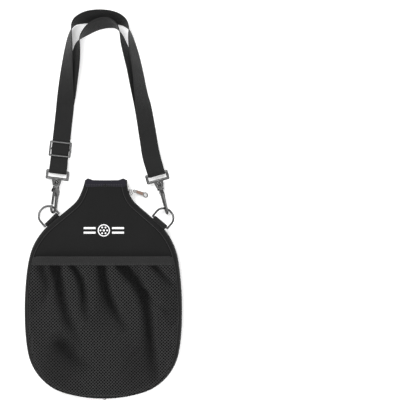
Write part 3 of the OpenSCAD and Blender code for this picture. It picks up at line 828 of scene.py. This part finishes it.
def make_elastic():
    """The gathered band along the pocket's top, with its turned edge and two stitched rows."""
    cols, rows = 141, 13
    low, high = ELASTIC_LOW - 0.6, POCKET_TOP
    verts, uvs = [], []
    ys = np.linspace(low, high, rows)
    us = np.linspace(0, 1, cols)
    left, right = (edge_line(side, seam(HALF[:, 1]) - 0.5) for side in (-1, 1))
    for y in ys:
        xl = np.interp(y, left[::-1, 1], left[::-1, 0])
        xr = np.interp(y, right[::-1, 1], right[::-1, 0])
        x = xl + (xr - xl) * us
        xy = np.column_stack([x, np.full(cols, y)])
        z = net_height(xy) + 0.5 + 0.5 * bell(y - high + 2.0, 3.0)
        pucker = 0.18 * np.sin(x / 1.1 + 0.8 * np.sin(x / 7)) * bell(y - low - 2, 4)
        for a, b in zip(xy, z + pucker):
            verts.append((a[0], a[1], b))
            uvs.append((a[1] * MM, a[0] * MM))
    obj = add_mesh("elastic_band", verts, grid_faces(rows, cols), "elastic", "cover", uvs=uvs)
    modifier(obj, "SOLIDIFY", thickness=1.1 * MM, offset=-1)
    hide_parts("pocket_elastic")
    lines = []
    for y in (low + 1.6, low + 3.4, high - 1.3):
        x = np.linspace(-94, 95, 120)
        xy = np.column_stack([x, np.full(len(x), y)])
        z = net_height(xy) + 0.75 + 0.5 * bell(y - high + 2.0, 3.0)
        lines.append(np.column_stack([xy, z]))
    stitches("elastic_stitching", lines, "cover", 2.0, 1.0, 0.2, "elastic")
    edge = lines[-1] - np.array([0, 0, 0.3])
    edge[:, 1] = high
    wire("elastic_edge_roll", [edge], 0.7, "elastic", "cover", 10, mat="binding")


# ---------- emblem ----------
def flat_patch(rows, cols, at):
    return [at(r / (rows - 1), c / (cols - 1)) for r in range(rows) for c in range(cols)]


def make_emblem():
    """A plain ball between two pairs of bars, printed on the crowned panel."""
    lo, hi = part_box("front_emblem")
    cx, cy = (lo[0] + hi[0]) / 2 / MM, (lo[1] + hi[1]) / 2 / MM
    ball, half_w = (hi[1] - lo[1]) / 2 / MM, (hi[0] - lo[0]) / 2 / MM
    shapes = []

    def ring(x, y, r0, r1, steps=40):
        def at(r, c):
            w = 2 * math.pi * c
            k = r0 + (r1 - r0) * r
            return (x + k * math.cos(w), y + k * math.sin(w))
        shapes.append((flat_patch(4, steps + 1, at), grid_faces(4, steps + 1)))

    def bar(x, y, w, h):
        def at(r, c):
            return (x + (c - 0.5) * w, y + (r - 0.5) * h)
        shapes.append((flat_patch(4, 16, at), grid_faces(4, 16)))

    ring(cx, cy, ball - 1.3, ball)
    ring(cx, cy, 0.05, 1.5, 20)
    for i in range(6):
        w = math.radians(60 * i)
        ring(cx + 4.7 * math.cos(w), cy + 4.7 * math.sin(w), 0.05, 1.25, 20)
    bar_w = half_w - ball - 3
    for s in (-1, 1):
        for k in (-1, 1):
            bar(cx + s * (half_w - bar_w / 2), cy + 3.2 * k, bar_w, 2.8)
    verts, faces = [], []
    for points, quads in shapes:
        base = len(verts)
        xy = np.array(points)
        verts += list(np.column_stack([xy, panel_height(xy) + 0.3]))
        faces += [tuple(base + v for v in f) for f in quads]
    obj = add_mesh("emblem_print", verts, faces, "print", "cover")
    bm = bmesh.new()
    bm.from_mesh(obj.data)
    bmesh.ops.remove_doubles(bm, verts=bm.verts, dist=1e-6)
    bm.to_mesh(obj.data)
    bm.free()
    modifier(obj, "SOLIDIFY", thickness=0.25 * MM, offset=0)
    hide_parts("front_emblem")


# ---------- webbing ----------
WEB_W, WEB_T = 25.0, 1.2


def web_section(width, thick):
    """Rounded edges on a flat section, as (across, through)."""
    half_w, half_t = width / 2, thick / 2
    out = []
    for side in (1, -1):
        for k in range(5):
            w = side * math.pi / 2 - math.pi * k / 4
            out.append((side * (half_w - half_t) + half_t * math.cos(w), half_t * math.sin(w)))
        steps = 5
        for k in range(1, steps):
            out.append((side * (half_w - half_t) * (1 - 2 * k / steps), -side * half_t))
    return out


def sweep(name, centres, across, body, node, width=WEB_W):
    """Webbing along centre points, with its width along the across directions."""
    p, a = np.asarray(centres, float), np.asarray(across, float)
    if a.ndim == 1:
        a = np.broadcast_to(a, p.shape)
    t = slopes(p)
    a = a - (a * t).sum(1)[:, None] * t
    a /= np.linalg.norm(a, axis=1)[:, None]
    b = np.cross(a, t)
    shape = web_section(width, WEB_T)
    run = lengths(p)
    verts, uvs = [], []
    for i in range(len(p)):
        for x, z in shape:
            verts.append(p[i] + x * a[i] + z * b[i])
            uvs.append((x * MM, run[i] * MM))
    obj = outwards(add_mesh(name, verts, tube_faces(len(p), len(shape)), "webbing", body, uvs=uvs))
    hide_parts(node)
    return obj


def spline(v, i, t):
    """Point on a smooth curve whose slopes allow for uneven spacing of the route's points."""
    n = len(v) - 1
    a, b, c, d = v[max(i - 1, 0)], v[i], v[min(i + 1, n)], v[min(i + 2, n)]
    before, h, after = (np.linalg.norm((q - p)[:3]) for p, q in ((a, b), (b, c), (c, d)))
    start = (c - a) * h / (h + before)
    end = (d - b) * h / (h + after)
    square = 3 * (c - b) - 2 * start - end
    cube = start + end - 2 * (c - b)
    return b + t * start + t * t * square + t ** 3 * cube


def smooth_route(route, steps):
    v = np.array(route, float)
    out = [spline(v, i, k / steps) for i in range(len(v) - 1) for k in range(steps)]
    return np.array(out + [v[-1]])


def roll_dirs(v):
    """Directions across the webbing, from each point's roll."""
    t = slopes(v[:, :3])
    side = np.cross(t, [0, 0, 1.0])
    side /= np.linalg.norm(side, axis=1)[:, None]
    up = np.cross(side, t)
    roll = np.radians(v[:, 3])[:, None]
    return np.cos(roll) * side + np.sin(roll) * up


def joint(name):
    return next(j for j in frame["record"]["behaviour"]["joints"] if j["name"] == name)


HOOK_L = np.array(joint("hook_left_swivel")["pos_m"]) / MM
HOOK_R = np.array(joint("hook_right_swivel")["pos_m"]) / MM
AXIS_L = np.array(joint("hook_left_swivel")["axis"])
AXIS_R = np.array(joint("hook_right_swivel")["axis"])
LEG = np.array(joint("adjuster_slide")["axis"])
TRAVEL = joint("adjuster_slide")["range_m"][1] / MM
LOOP_TOP, LOOP_BAR = 51.5, 1.9  # the loop's far bar: distance from the hook's contact, radius
GLIDE_BAR = 1.3
BAR_L = HOOK_L + LOOP_TOP * AXIS_L
BAR_R = HOOK_R + LOOP_TOP * AXIS_R
FOLD_R = LOOP_BAR + 0.1 + WEB_T / 2
LEG_Z, UNDER_Z, GLIDE_S = 6.5, 1.0, 32
ADJUST_END = GLIDE_S + TRAVEL + 14


def leg(s, z, roll=0):
    p = BAR_L + s * LEG
    return (p[0], p[1], z, roll)


OUTER = [
    leg(0, BAR_L[2] + FOLD_R),
    leg(8, 9.6),
    leg(17, 7),
    leg(22, LEG_Z),
    leg(80, LEG_Z),
    leg(92, LEG_Z),
    (-54, 308, 7.6, 16),
    (-52.8, 330, 9, 33),
    (-51.3, 352, 10.8, 47),
    (-48.7, 380, 12.9, 63),
    (-46.2, 400, 14.2, 80),
    (-42.5, 411, 14.4, 98),
    (-36, 417, 14, 114),
    (-22, 421.5, 12.5, 130),
    (-3, 423, 11.5, 134),
    (16, 420.5, 12, 130),
    (29, 415, 13.5, 114),
    (36, 406, 14.6, 94),
    (38.3, 396, 14.2, 79),
    (41.6, 380, 13.4, 66),
    (45.2, 364, 12.9, 60),
    (49, 344, 12.6, 55),
    (52.6, 320, 12.2, 47),
    (56, 299, 11.4, 38),
    (60, 270, 8.4, 22),
    (64, 247, 6, 8),
    (68.5, 224, 8, 0),
    (BAR_R[0], BAR_R[1], BAR_R[2] + FOLD_R, 0),
]
INNER = [
    (BAR_R[0], BAR_R[1], BAR_R[2] - FOLD_R, 0),
    (67.7, 224, 2.4, 0),
    (64, 247, 1.8, -4),
    (60.4, 270, 3.6, -11),
    (55, 299, 5.3, -20),
    (47.6, 325, 9, -40),
    (40.4, 350, 11.4, -55),
    (34, 369, 12.4, -65),
    (28.5, 386, 13.2, -74),
    (24, 400, 13.8, -88),
    (17.5, 409.5, 13.6, -104),
    (7, 413.5, 12, -122),
    (-7, 411.5, 11.4, -126),
    (-20, 404.5, 12, -118),
    (-30.5, 394.5, 13.2, -98),
    (-36, 383, 12.8, -72),
    (-38.8, 367, 11.8, -58),
    (-42, 350, 10.2, -47),
    (-46.8, 330, 7.6, -32),
    (-51, 312, 4, -15),
    leg(ADJUST_END + 6, 1.4, -3),
    leg(ADJUST_END, UNDER_Z),
]


def half_turn(centre, axis, radius, start, end, steps=14):
    """Points of an arc round a bar, in the plane of axis and +Z; angles from +Z towards -axis."""
    out = []
    for i in range(steps + 1):
        w = math.radians(start + (end - start) * i / steps)
        out.append(centre - axis * radius * math.sin(w) + np.array([0, 0, radius * math.cos(w)]))
    return out


def make_strap():
    for name, route, node in (
        ("strap_outer", OUTER, "strap_outer_run"),
        ("strap_inner", INNER, "strap_inner_run"),
    ):
        v = smooth_route(route, 12)
        sweep(name, v[:, :3], roll_dirs(v), "strap", node)
    low = BAR_L + (GLIDE_S + 0.1) * LEG
    high = BAR_L + (ADJUST_END - 0.05) * LEG
    low[2] = high[2] = UNDER_Z
    side = np.cross(LEG, [0, 0, 1.0])
    line = [low + (high - low) * k / 60 for k in range(61)]
    run = sweep("strap_adjusting_run", line, side, "strap", "strap_adjust_run")
    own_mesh(run)
    up = np.array([0, 0, 1.0])
    side_l, side_r = np.cross(AXIS_L, up), np.cross(AXIS_R, up)
    tail = [BAR_L + AXIS_L * s - up * FOLD_R for s in (3, 6, 9, 12, 14)]
    turn = half_turn(BAR_L, AXIS_L, FOLD_R, 0, 180)
    sweep("strap_sewn_end", turn + tail, side_l, "strap", "strap_fold_left")
    turn = half_turn(BAR_R, AXIS_R, FOLD_R, 0, 180)
    sweep("strap_turn", turn, side_r, "strap", "strap_fold_right")
    glide = BAR_L + GLIDE_S * LEG
    glide[2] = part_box("tri_glide")[0][2] / MM + GLIDE_BAR
    r = GLIDE_BAR + 0.1 + WEB_T / 2
    tail = [glide + LEG * s + up * r for s in (3, 6, 9, 12)]
    turn = half_turn(glide, LEG, r, 180, 0)
    sweep("adjuster_sewn_end", turn + tail, side, "adjuster", "strap_fold_glide")


RING_BAR, TAB_W = 1.5, 22.6
# One ply of a tab: distance in from the ring's bar and height off the tab's middle
TAB_PLY = ((9, 0.7), (7, 0.7), (5, 0.9), (3, 1.5), (1.5, 2.1))


def make_tabs():
    """Webbing folded round each D-ring's bar and sewn into the edge seam."""
    for name, ring, node in (
        ("tab_left", "ring_left_swing", "ring_tab_left"),
        ("tab_right", "ring_right_swing", "ring_tab_right"),
    ):
        j = joint(ring)
        bar, axis = np.array(j["pos_m"]) / MM, np.array(j["axis"])
        out = np.array([-axis[1], axis[0], 0])
        r = RING_BAR + 0.1 + WEB_T / 2
        upper = [bar - out * s + np.array([0, 0, h]) for s, h in TAB_PLY]
        lower = [bar - out * s - np.array([0, 0, h]) for s, h in TAB_PLY[::-1]]
        turn = half_turn(bar, -out, r, 0, 180, 12)
        sweep(name, resample(upper + turn + lower, 0.8), axis, "cover", node, TAB_W)
        ends = np.linspace(-10, 10, 20)
        line = [bar - out * 3.9 + axis * s + np.array([0, 0, 1.95]) for s in ends]
        stitches(f"{name}_stitching", [line], "cover", 1.8, 0.9, 0.22)


# ---------- looks of the CAD pieces, and the floor ----------
def finish_cad_nodes():
    slots = {row["node"]: row["material_slot"] for row in frame["record"]["subparts"]}
    for node, slot in slots.items():
        obj = frame["nodes"][node]
        for place in obj.material_slots:
            place.material = MATS[slot]


def make_floor():
    data = bpy.data.meshes.new("floor")
    data.from_pydata([(-4, -4, 0), (4, -4, 0), (4, 4, 0), (-4, 4, 0)], [], [(0, 1, 2, 3)])
    s = Shader("floor", rough=0.9, base=(0.93, 0.93, 0.93))
    s.bump(s.noise(s.coords("Object"), 60, 2), 0.0001, 0.2)
    # a faint glow keeps the ground near white where the strap shades it
    s.bsdf.inputs["Emission Color"].default_value = (1, 1, 1, 1)
    s.bsdf.inputs["Emission Strength"].default_value = 0.3
    data.materials.append(s.mat)
    obj = bpy.data.objects.new("floor", data)
    obj.location.z = -0.0002
    bpy.context.scene.collection.objects.link(obj)


make_camera()
make_lights()
make_floor()
finish_cad_nodes()
front = panel("front_cloth", "front_panel", front_height)
panel("back_cloth", "back_panel", back_height)
make_bands()
make_piping()
make_hems()
make_zip()
make_net(front)
make_elastic()
make_emblem()
make_strap()
make_tabs()
